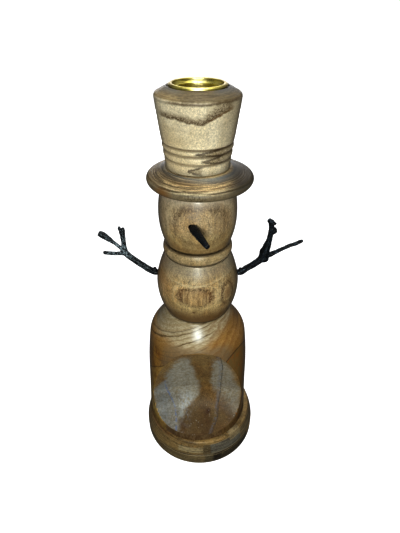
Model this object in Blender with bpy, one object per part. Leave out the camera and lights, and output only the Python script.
"""Turned wooden snowman candle holder, built as the separate pieces it comes apart into.

Metres, +Z up. The turning axis is the Z axis, the figure faces -Y and stands on z = 0,
so its left hand is on +X. Sizes are in millimetres and are scaled once, by MM.
Named points on a turned outline are (radius, z).
"""
import math

import bmesh
import bpy
from mathutils import Matrix, Vector

MM = 0.001
GAP = 0.3                  # clearance between neighbouring pieces
SEGMENTS = 40              # facets round a large turned piece

# ---------------------------------------------------------------- helpers


def material(name, colour, roughness, metallic=0.0):
    mat = bpy.data.materials.new(name)
    mat.use_nodes = True
    bsdf = mat.node_tree.nodes["Principled BSDF"]
    bsdf.inputs["Base Color"].default_value = (*colour, 1.0)
    bsdf.inputs["Roughness"].default_value = roughness
    bsdf.inputs["Metallic"].default_value = metallic
    return mat


def arc(start, end, sag, steps):
    """Outline points on an arc from start to end; a positive sag bulges away from the axis."""
    chord = math.dist(start, end)
    along_r = (end[0] - start[0]) / chord
    along_z = (end[1] - start[1]) / chord
    out_r, out_z = (along_z, -along_r) if along_z >= 0 else (-along_z, along_r)
    radius = (chord * chord / 4 + sag * sag) / (2 * abs(sag))
    half_angle = math.asin(chord / 2 / radius)
    points = []
    for i in range(steps + 1):
        angle = -half_angle + 2 * half_angle * i / steps
        along = radius * math.sin(angle) + chord / 2
        bulge = math.copysign(radius * (math.cos(angle) - math.cos(half_angle)), sag)
        points.append((start[0] + along_r * along + out_r * bulge,
                       start[1] + along_z * along + out_z * bulge))
    return points


def join(*parts):
    """Chain point lists, dropping a point that repeats the one before it."""
    chain = []
    for part in parts:
        for point in part:
            if not chain or math.dist(point, chain[-1]) > 1e-4:
                chain.append(point)
    return chain


def add_object(name, bm, mat, sharp_angle=35.0):
    """Turn a bmesh into a smooth-shaded object; edges over sharp_angle degrees stay sharp."""
    bmesh.ops.recalc_face_normals(bm, faces=bm.faces)
    mesh = bpy.data.meshes.new(name)
    bm.to_mesh(mesh)
    bm.free()
    mesh.shade_smooth()
    mesh.set_sharp_from_angle(angle=math.radians(sharp_angle))
    obj = bpy.data.objects.new(name, mesh)
    bpy.context.scene.collection.objects.link(obj)
    if mat is not None:
        mesh.materials.append(mat)
    return obj


def turned(name, profile, mat, segments=SEGMENTS, centres=((0.0, 0.0),)):
    """Spin a closed (r, z) loop round a vertical axis at each (x, y) centre.

    Points at r = 0 become single vertices on the axis.
    """
    bm = bmesh.new()
    turns = [2 * math.pi * k / segments for k in range(segments)]
    for centre_x, centre_y in centres:
        rings = []
        for r, z in profile:
            rings.append([bm.verts.new(((centre_x + r * math.cos(turn)) * MM,
                                        (centre_y + r * math.sin(turn)) * MM,
                                        z * MM)) for turn in (turns if r > 0 else [0.0])])
        for ring, after in zip(rings, rings[1:] + rings[:1]):
            if len(ring) == 1 and len(after) == 1:
                continue
            for k in range(segments):
                k_next = (k + 1) % segments
                if len(ring) == 1:
                    bm.faces.new((ring[0], after[k], after[k_next]))
                elif len(after) == 1:
                    bm.faces.new((ring[k], after[0], ring[k_next]))
                else:
                    bm.faces.new((ring[k], after[k], after[k_next], ring[k_next]))
    return add_object(name, bm, mat)


def tube(name, points, radii, mat, sides):
    """A closed tube of varying radius through points; it must not start out along Y."""
    centres = [Vector(point) * MM for point in points]
    last = len(centres) - 1
    tangents = [(centres[min(last, i + 1)] - centres[max(0, i - 1)]).normalized()
                for i in range(last + 1)]
    side = tangents[0].cross(Vector((0.0, 1.0, 0.0))).normalized()
    bm = bmesh.new()
    rings = []
    for centre, tangent, radius in zip(centres, tangents, radii):
        side = (side - tangent * side.dot(tangent)).normalized()
        other = tangent.cross(side)
        rings.append([bm.verts.new(centre + (side * math.cos(2 * math.pi * k / sides)
                                             + other * math.sin(2 * math.pi * k / sides))
                                   * radius * MM)
                      for k in range(sides)])
    for ring, after in zip(rings, rings[1:]):
        for k in range(sides):
            k_next = (k + 1) % sides
            bm.faces.new((ring[k], after[k], after[k_next], ring[k_next]))
    bm.faces.new(rings[0])
    bm.faces.new(rings[-1])
    return add_object(name, bm, mat, sharp_angle=50.0)


def cut(target, tool, operation="DIFFERENCE"):
    """Apply tool to target as a live boolean, and hide the tool from renders."""
    tool.hide_render = True
    tool.display_type = "WIRE"
    modifier = target.modifiers.new("cut_" + tool.name, "BOOLEAN")
    modifier.operation = operation
    modifier.solver = "EXACT"
    modifier.object = tool


# ---------------------------------------------------------------- hidden dowels
DOWEL_R = 5.0
DOWEL_CHAMFER = 0.8
DOWEL_HOLE_R = DOWEL_R + GAP
DOWEL_END_GAP = 1.0
WAIST_DOWEL = (97.5, 129.5)    # bottom z, top z
NECK_DOWEL = (147.5, 181.0)
HAT_DOWEL = (188.0, 221.0)


def build_dowels():
    wood = material("dowel_wood", colour=(0.60, 0.47, 0.28), roughness=0.6)
    for name, (bottom, top) in (("waist_dowel", WAIST_DOWEL), ("neck_dowel", NECK_DOWEL),
                                ("hat_dowel", HAT_DOWEL)):
        end_r = DOWEL_R - DOWEL_CHAMFER
        turned(name, [(0, bottom), (end_r, bottom), (DOWEL_R, bottom + DOWEL_CHAMFER),
                      (DOWEL_R, top - DOWEL_CHAMFER), (end_r, top), (0, top)],
               wood.copy(), segments=20)


def bore_down(mouth_z, dowel):
    """Outline of a blind dowel hole, from its mouth down to the axis."""
    floor_z = dowel[0] - DOWEL_END_GAP
    return [(DOWEL_HOLE_R, mouth_z), (DOWEL_HOLE_R, floor_z), (0, floor_z)]


def bore_up(mouth_z, dowel):
    """Outline of a blind dowel hole opening downwards, from the axis to its mouth."""
    roof_z = dowel[1] + DOWEL_END_GAP
    return [(0, roof_z), (DOWEL_HOLE_R, roof_z), (DOWEL_HOLE_R, mouth_z)]


# ---------------------------------------------------------------- plinth and felt
BASE_R = 40.3              # outer band
BASE_BOTTOM_Z = 0.3
BASE_BAND_TOP = 9.3
BASE_LEDGE = (37.7, 18.9)  # ridge where the plinth turns in to the body
BASE_TOP_Z = 20.7
BASE_CENTRE = (1.8, 0.0)   # the plinth was glued on slightly off centre, to +X
FELT_R = 33.0
FELT_T = 1.2


def build_plinth():
    pocket_r = FELT_R + GAP
    pocket_z = FELT_T + GAP
    return turned("base_plinth", join(
        [(0, pocket_z), (pocket_r, pocket_z), (pocket_r, BASE_BOTTOM_Z),
         (BASE_R - 0.5, BASE_BOTTOM_Z), (BASE_R - 0.05, 0.8), (BASE_R, 1.0),
         (BASE_R, BASE_BAND_TOP),
         # groove above the band
         (BASE_R - 0.6, BASE_BAND_TOP + 0.5), (BASE_R - 0.15, BASE_BAND_TOP + 1.1)],
        arc((BASE_R - 0.2, BASE_BAND_TOP + 1.2), BASE_LEDGE, 0.25, 3),
        arc(BASE_LEDGE, (BASE_LEDGE[0] - 1.2, BASE_TOP_Z), 0.3, 3),
        [(0, BASE_TOP_Z)]),
        material("wood_base", colour=(0.20, 0.155, 0.095), roughness=0.42),
        centres=(BASE_CENTRE,))


def build_felt():
    turned("felt_pad", [(0, 0), (FELT_R, 0), (FELT_R, FELT_T), (0, FELT_T)],
           material("felt", colour=(0.03, 0.06, 0.04), roughness=0.95),
           centres=(BASE_CENTRE,))


# ---------------------------------------------------------------- screws through the plinth
SCREW_X = 13.0
SCREW_Y = 10.0
SCREW_HEAD_R = 3.8
SCREW_R = 1.9
SCREW_BOTTOM_Z = 2.2
SCREW_HEAD_RIM_Z = 2.6     # the countersunk head narrows from here
SCREW_HEAD_TOP_Z = 4.6     # to here
SCREW_POINT = 4.0          # length of the pointed end
SCREW_TIP_Z = 43.0
SCREW_SEGMENTS = 12
SCREW_HOLE_MOUTH_Z = 0.5   # below the plinth's wood, so that the hole is open
SCREW_HEAD_SLACK = 0.4     # height left between the head's cone and its seat
SCREW_TIP_GAP = 1.0


def build_screws():
    steel = material("steel", colour=(0.55, 0.55, 0.56), roughness=0.35, metallic=1.0)
    profile = [(0, SCREW_BOTTOM_Z), (SCREW_HEAD_R, SCREW_BOTTOM_Z),
               (SCREW_HEAD_R, SCREW_HEAD_RIM_Z), (SCREW_R, SCREW_HEAD_TOP_Z),
               (SCREW_R, SCREW_TIP_Z - SCREW_POINT), (0, SCREW_TIP_Z)]
    for side, x in (("left", SCREW_X), ("right", -SCREW_X)):
        turned("base_screw_" + side, profile, steel.copy(), SCREW_SEGMENTS, ((x, SCREW_Y),))


def screw_holes_tool():
    end_z = SCREW_TIP_Z + SCREW_TIP_GAP
    return turned("tool_screw_holes", [
        (0, SCREW_HOLE_MOUTH_Z), (SCREW_HEAD_R + GAP, SCREW_HOLE_MOUTH_Z),
        (SCREW_HEAD_R + GAP, SCREW_HEAD_RIM_Z + SCREW_HEAD_SLACK),
        (SCREW_R + GAP, SCREW_HEAD_TOP_Z + SCREW_HEAD_SLACK),
        (SCREW_R + GAP, end_z), (0, end_z)],
        None, SCREW_SEGMENTS, ((-SCREW_X, SCREW_Y), (SCREW_X, SCREW_Y)))


# ---------------------------------------------------------------- lower body
BODY_BOTTOM_Z = BASE_TOP_Z + GAP
BODY_FOOT_R = 35.6
BODY_FOOT_CHAMFER = 0.4
BODY_WALL = (34.0, 67.0)
SHOULDER = (31.6, 96.5)
SHOULDER_TOP = (27.0, 105.2)
WAIST_R = 20.6             # where the shoulder meets the ball
WAIST_Z = 117.0


def build_lower_body():
    foot = (BODY_FOOT_R, BODY_BOTTOM_Z + BODY_FOOT_CHAMFER)
    return turned("lower_body", join(
        [(0, BODY_BOTTOM_Z), (BODY_FOOT_R - BODY_FOOT_CHAMFER, BODY_BOTTOM_Z)],
        arc(foot, BODY_WALL, -0.15, 4),
        arc(BODY_WALL, SHOULDER, 0.35, 4),
        arc(SHOULDER, SHOULDER_TOP, 0.75, 4),
        arc(SHOULDER_TOP, (WAIST_R, WAIST_Z - 0.6), -0.1, 3),
        [(WAIST_R - 0.6, WAIST_Z)],
        bore_down(WAIST_Z, WAIST_DOWEL)),
        material("wood_body", colour=(0.36, 0.25, 0.12), roughness=0.36), segments=48)


# ---------------------------------------------------------------- belly recess
RECESS_TOP_Z = 101.4       # top of the recess, on the shoulder
RECESS_TOP_Y = -29.7
RECESS_LEAN = 0.283        # how far the back of the recess leans in, per mm down
RECESS_DISH = 5.0          # extra hollow in the middle of the back
DISH_HALF_WIDTH = 32.5
DISH_MID_Z = 42.0
DISH_HALF_HEIGHT = 60.0
RECESS_FLOOR_Z = 26.4
RECESS_COVE = 22.0         # height of the cove between the back and the floor
COVE_POWER = 0.92          # below 1 makes the cove squarer than an ellipse
COVE_ROWS = 7
BACK_ROWS = 12
RECESS_COLUMNS = 20
RECESS_LIP_Y = -40.0       # front edge of the cove
# the cutter reaches past the body at the sides, front and top
CUTTER_HALF_WIDTH = 40.0
CUTTER_FRONT_Y = -60.0
CUTTER_TOP_Z = 110.0


def recess_back(x, z):
    """y of the recess's back: a leaning flat, dished in the middle."""
    dish = max(0.0, 1.0 - (x / DISH_HALF_WIDTH) ** 2
               - ((z - DISH_MID_Z) / DISH_HALF_HEIGHT) ** 2)
    return RECESS_TOP_Y + RECESS_LEAN * (RECESS_TOP_Z - z) + RECESS_DISH * dish


def recess_tool():
    cove_top = RECESS_FLOOR_Z + RECESS_COVE
    rows = []              # z, share of the way from lip to back, z at which the back is taken
    for i in range(COVE_ROWS):
        angle = math.radians(90.0 * i / COVE_ROWS)
        rows.append((cove_top - RECESS_COVE * math.cos(angle) ** COVE_POWER,
                     math.sin(angle) ** COVE_POWER, cove_top))
    for i in range(BACK_ROWS + 1):
        z = cove_top + (CUTTER_TOP_Z - cove_top) * i / BACK_ROWS
        rows.append((z, 1.0, z))
    bm = bmesh.new()
    back, front = [], []
    for z, reach, back_z in rows:
        back.append([])
        front.append([])
        for j in range(RECESS_COLUMNS + 1):
            x = -CUTTER_HALF_WIDTH + 2 * CUTTER_HALF_WIDTH * j / RECESS_COLUMNS
            y = RECESS_LIP_Y + (recess_back(x, back_z) - RECESS_LIP_Y) * reach
            back[-1].append(bm.verts.new((x * MM, y * MM, z * MM)))
            front[-1].append(bm.verts.new((x * MM, CUTTER_FRONT_Y * MM, z * MM)))
    for i in range(len(rows) - 1):
        for j in range(RECESS_COLUMNS):
            bm.faces.new((back[i][j], back[i][j + 1], back[i + 1][j + 1], back[i + 1][j]))
            bm.faces.new((front[i][j], front[i + 1][j], front[i + 1][j + 1], front[i][j + 1]))
        for j in (0, RECESS_COLUMNS):
            bm.faces.new((back[i][j], back[i + 1][j], front[i + 1][j], front[i][j]))
    for i in (0, len(rows) - 1):
        for j in range(RECESS_COLUMNS):
            bm.faces.new((back[i][j], front[i][j], front[i][j + 1], back[i][j + 1]))
    return add_object("tool_recess", bm, None)


# ---------------------------------------------------------------- ball, collar and head
BALL_BOTTOM_Z = WAIST_Z + GAP
BALL_MID = (24.8, 137.0)
BALL_UPPER = (23.6, 145.6)
BALL_NECK = (20.1, 154.8)
BALL_TOP_Z = 156.9
COLLAR_BOTTOM_Z = BALL_TOP_Z + GAP
COLLAR_MID = (20.1, 161.0)
COLLAR_END_R = 18.9
COLLAR_TOP_Z = 165.2
HEAD_BOTTOM_Z = COLLAR_TOP_Z + GAP
HEAD_MID = (22.0, 183.0)
HEAD_TOP_Z = 199.8


def build_ball():
    return turned("torso_ball", join(
        bore_up(BALL_BOTTOM_Z, WAIST_DOWEL),
        [(WAIST_R - 1.0, BALL_BOTTOM_Z)],
        arc((WAIST_R, BALL_BOTTOM_Z + 0.9), BALL_MID, 1.05, 5),
        arc(BALL_MID, BALL_UPPER, 0.3, 3),
        arc(BALL_UPPER, BALL_NECK, 0.12, 3),
        [(19.5, BALL_TOP_Z)],
        bore_down(BALL_TOP_Z, NECK_DOWEL)),
        material("wood_ball", colour=(0.38, 0.28, 0.14), roughness=0.34))


def build_collar():
    turned("scarf_collar", join(
        [(DOWEL_HOLE_R, COLLAR_BOTTOM_Z), (COLLAR_END_R, COLLAR_BOTTOM_Z)],
        arc((19.5, COLLAR_BOTTOM_Z + 0.7), COLLAR_MID, 0.15, 2),
        arc(COLLAR_MID, (COLLAR_END_R, COLLAR_TOP_Z), 0.25, 3),
        [(DOWEL_HOLE_R, COLLAR_TOP_Z)]),
        material("wood_collar", colour=(0.36, 0.26, 0.13), roughness=0.34))


def build_head():
    return turned("head", join(
        bore_up(HEAD_BOTTOM_Z, NECK_DOWEL),
        [(18.2, HEAD_BOTTOM_Z)],
        arc((19.0, HEAD_BOTTOM_Z + 0.9), HEAD_MID, 0.75, 5),
        arc(HEAD_MID, (19.6, HEAD_TOP_Z), 0.6, 5),
        bore_down(HEAD_TOP_Z, HAT_DOWEL)),
        material("wood_head", colour=(0.40, 0.29, 0.15), roughness=0.34))


# ---------------------------------------------------------------- hat and candle cup
BRIM_BOTTOM_Z = HEAD_TOP_Z + GAP
BRIM_EDGE = (28.4, 203.4)
BRIM_UPPER = (25.9, 206.1)
BRIM_NECK_R = 18.6
BRIM_TOP_Z = 209.4
BRIM_SHIFT = 1.2           # the brim sits slightly off centre, to +X
CROWN_BOTTOM_Z = BRIM_TOP_Z + GAP
CROWN_WAIST_R = 17.1
CROWN_R = 21.2
CROWN_EDGE_Z = 244.6
CROWN_TOP_Z = 248.4
HAT_GROOVES = (215.1, 219.3, 222.6)
GROOVE_HALF_HEIGHT = 0.85
GROOVE_LIP = 0.1           # how far a groove's edges stand proud of the crown
GROOVE_DEPTH = 0.65
CROWN_WALL_Z = 224.6       # the plain wall starts here, above the grooves

CUP_RIM_R = 14.2           # brass candle cup
CUP_LIP_R = 13.0
CUP_SLEEVE_R = 11.6
CUP_BORE_R = 11.0          # takes a 22 mm taper candle
CUP_FLOOR_Z = 227.8
CUP_RIM_Z = 249.5
SOCKET_R = 12.0            # bore in the crown for the cup
SOCKET_FLOOR_Z = 226.0
SOCKET_SEAT_Z = CROWN_TOP_Z - 0.9
CUP_BOTTOM_Z = SOCKET_FLOOR_Z + 0.6


def build_brim():
    brim = turned("hat_brim", join(
        [(DOWEL_HOLE_R, BRIM_BOTTOM_Z), (24.9, BRIM_BOTTOM_Z)],
        arc((25.4, BRIM_BOTTOM_Z + 0.15), BRIM_EDGE, 0.75, 3),
        arc(BRIM_EDGE, BRIM_UPPER, 0.65, 3),
        arc(BRIM_UPPER, (BRIM_NECK_R, BRIM_TOP_Z - 0.6), -0.25, 3),
        [(17.6, BRIM_TOP_Z), (DOWEL_HOLE_R, BRIM_TOP_Z)]),
        material("wood_brim", colour=(0.27, 0.18, 0.09), roughness=0.38))
    # the brim's bore stays on the turning axis, so only its rim moves to +X
    for vertex in brim.data.vertices:
        r = math.hypot(vertex.co.x, vertex.co.y) / MM
        share = (r - BRIM_NECK_R) / (BRIM_EDGE[0] - BRIM_NECK_R)
        vertex.co.x += BRIM_SHIFT * MM * max(0.0, min(1.0, share))


def crown_radius(z):
    """Outer radius of the hat's crown: nearly straight, opening upwards."""
    share = (z - HAT_GROOVES[0]) / (CROWN_EDGE_Z - HAT_GROOVES[0])
    return CROWN_WAIST_R + (CROWN_R - CROWN_WAIST_R) * share


def build_crown():
    grooves = []
    for z in HAT_GROOVES:
        r = crown_radius(z)
        grooves += [(r + GROOVE_LIP, z - GROOVE_HALF_HEIGHT), (r - GROOVE_DEPTH, z),
                    (r + GROOVE_LIP, z + GROOVE_HALF_HEIGHT)]
    edge = (CROWN_R, CROWN_EDGE_Z - 0.4)
    turned("hat_crown", join(
        bore_up(CROWN_BOTTOM_Z, HAT_DOWEL),
        [(16.8, CROWN_BOTTOM_Z)],
        grooves,
        arc((crown_radius(CROWN_WALL_Z) + 0.15, CROWN_WALL_Z), edge, 0.1, 4),
        arc(edge, (CROWN_R - 0.9, CROWN_EDGE_Z + 0.8), 0.25, 2),
        [(CUP_RIM_R + 0.6, CROWN_TOP_Z), (CUP_RIM_R + 0.4, SOCKET_SEAT_Z),
         (SOCKET_R, SOCKET_SEAT_Z), (SOCKET_R, SOCKET_FLOOR_Z), (0, SOCKET_FLOOR_Z)]),
        material("wood_crown", colour=(0.58, 0.49, 0.30), roughness=0.40))


def build_cup():
    flange_z = SOCKET_SEAT_Z + GAP
    lip = (CUP_LIP_R, CUP_RIM_Z)
    turned("candle_cup", join(
        [(0, CUP_BOTTOM_Z), (CUP_SLEEVE_R, CUP_BOTTOM_Z), (CUP_SLEEVE_R, flange_z),
         (CUP_RIM_R - 0.4, flange_z)],
        arc((CUP_RIM_R, flange_z + 0.4), lip, 0.3, 3),
        arc(lip, (CUP_BORE_R, CUP_RIM_Z - 2.0), 0.35, 3),
        [(CUP_BORE_R, CUP_FLOOR_Z), (0, CUP_FLOOR_Z)]),
        material("brass", colour=(0.78, 0.57, 0.18), roughness=0.22, metallic=1.0))


# ---------------------------------------------------------------- nose
PEG_END_GAP = 0.6          # between a nose or arm peg's inner end and its hole's
NOSE_ROOT = Vector((-2.2, -21.6, 182.5))
NOSE_TIP = Vector((4.45, -39.0, 183.9))
NOSE_R = 2.25
NOSE_TIP_R = 1.15
NOSE_PEG_R = 1.5
NOSE_HOLE_DEPTH = 7.5
NOSE_HOLE_REACH = 6.0      # how far the hole's cutter runs outwards from the root
NOSE_FULL_AT = 2.3         # distance from the root where the taper starts
NOSE_TAPER_END = 1.0       # the taper would end this far short of the tip
NOSE_TAPER_STEPS = 5
NOSE_SIDES = 12


def build_nose(head, iron):
    length = (NOSE_TIP - NOSE_ROOT).length
    direction = (NOSE_TIP - NOSE_ROOT).normalized()
    # distance from the root, radius
    stations = [(-NOSE_HOLE_DEPTH + PEG_END_GAP, NOSE_PEG_R), (1.2, NOSE_PEG_R), (1.5, 1.9),
                (NOSE_FULL_AT, NOSE_R)]
    for i in range(1, NOSE_TAPER_STEPS):
        share = i / NOSE_TAPER_STEPS
        stations.append((NOSE_FULL_AT + (length - NOSE_FULL_AT - NOSE_TAPER_END) * share,
                         NOSE_R + (NOSE_TIP_R - NOSE_R) * share))
    stations += [(length - 0.9, NOSE_TIP_R), (length - 0.25, NOSE_TIP_R * 0.8),
                 (length, NOSE_TIP_R * 0.4)]
    tube("nose_peg", [NOSE_ROOT + direction * distance for distance, _ in stations],
         [radius for _, radius in stations], iron, NOSE_SIDES)
    cut(head, tube("tool_nose_hole",
                   [NOSE_ROOT - direction * NOSE_HOLE_DEPTH,
                    NOSE_ROOT + direction * NOSE_HOLE_REACH],
                   [NOSE_PEG_R + GAP] * 2, None, NOSE_SIDES))


# ---------------------------------------------------------------- twig arms
ARM_Z = 141.5              # height of the arm holes in the ball
ARM_PEG_R = 1.8
ARM_PEG_X = (14.0, 20.0)   # stations of the peg, out from the axis
ARM_HOLE_END_X = 30.0
ARM_PIVOT_X = 24.5         # mouth of the hole
BEND_START_X = 26.0        # the arm leaves the y = 0 plane from here
BEND_SPAN = 35.0           # and is off it by its bend this much further out

# Elbows of each twig as (x, z, radius)
LEFT_TRUNK = ((26.3, 141.5, 1.85), (29.5, 144.6, 1.8), (33.0, 147.4, 1.75),
              (36.4, 150.2, 1.75), (39.8, 153.4, 2.0))
LEFT_UP = ((39.6, 153.0, 1.3), (40.5, 159.0, 1.35), (41.2, 163.0, 1.3), (42.2, 166.8, 1.5),
           (42.5, 171.2, 1.65), (41.4, 177.8, 1.2))
LEFT_OUT = ((39.4, 153.0, 1.2), (46.0, 156.2, 1.3), (50.3, 159.4, 1.2), (54.2, 161.6, 1.15),
            (61.0, 164.9, 0.9))
RIGHT_TRUNK = ((-26.3, 141.5, 1.85), (-30.9, 144.4, 1.8), (-35.5, 148.0, 1.75),
               (-40.0, 151.7, 1.7), (-43.4, 155.2, 1.75))
RIGHT_OUT = ((-42.8, 154.6, 1.3), (-45.0, 157.6, 1.35), (-49.0, 162.0, 1.3),
             (-53.2, 165.4, 1.25), (-57.3, 167.9, 1.35))
RIGHT_UP = ((-43.2, 155.0, 1.2), (-44.3, 160.0, 1.2), (-44.1, 164.6, 1.15),
            (-44.1, 169.0, 1.3), (-45.0, 172.0, 1.35))
RIGHT_LOW = ((-43.0, 155.0, 1.1), (-46.6, 155.4, 1.1), (-50.3, 155.2, 1.0), (-56.0, 155.9, 0.8))


def build_arm(name, sign, trunk, branches, bend, ball, mat):
    """A trunk with its branches joined on; sign is the side in x, bend the y offset."""
    def bent(elbows):
        return [(x, bend * (abs(x) - BEND_START_X) / BEND_SPAN, z) for x, z, _ in elbows]

    peg = [(sign * x, 0.0, ARM_Z) for x in ARM_PEG_X]
    arm = tube(name, peg + bent(trunk), [ARM_PEG_R] * 2 + [r for *_, r in trunk], mat, sides=8)
    for i, branch in enumerate(branches):
        cut(arm, tube(f"tool_{name}_branch_{i}", bent(branch), [r for *_, r in branch],
                      None, sides=7), "UNION")
    cut(ball, tube(f"tool_{name}_hole",
                   [(sign * (ARM_PEG_X[0] - PEG_END_GAP), 0.0, ARM_Z),
                    (sign * ARM_HOLE_END_X, 0.0, ARM_Z)],
                   [ARM_PEG_R + GAP] * 2, None, sides=10))
    # the arm turns about its peg, so its origin goes to the hole's mouth on that axis
    pivot = Vector((sign * ARM_PIVOT_X, 0.0, ARM_Z)) * MM
    arm.data.transform(Matrix.Translation(-pivot))
    arm.location = pivot


# ---------------------------------------------------------------- build
def build():
    for old in list(bpy.data.objects):
        bpy.data.objects.remove(old, do_unlink=True)
    plinth = build_plinth()
    build_felt()
    build_screws()
    body = build_lower_body()
    cut(body, recess_tool())
    screw_holes = screw_holes_tool()
    cut(plinth, screw_holes)
    cut(body, screw_holes)
    ball = build_ball()
    build_collar()
    head = build_head()
    build_brim()
    build_crown()
    build_cup()
    build_dowels()
    iron = material("iron", colour=(0.018, 0.021, 0.026), roughness=0.45, metallic=0.7)
    build_nose(head, iron)
    build_arm("left_arm", 1, LEFT_TRUNK, (LEFT_UP, LEFT_OUT), -1.5, ball, iron.copy())
    build_arm("right_arm", -1, RIGHT_TRUNK, (RIGHT_OUT, RIGHT_UP, RIGHT_LOW), 1.0, ball,
              iron.copy())


build()
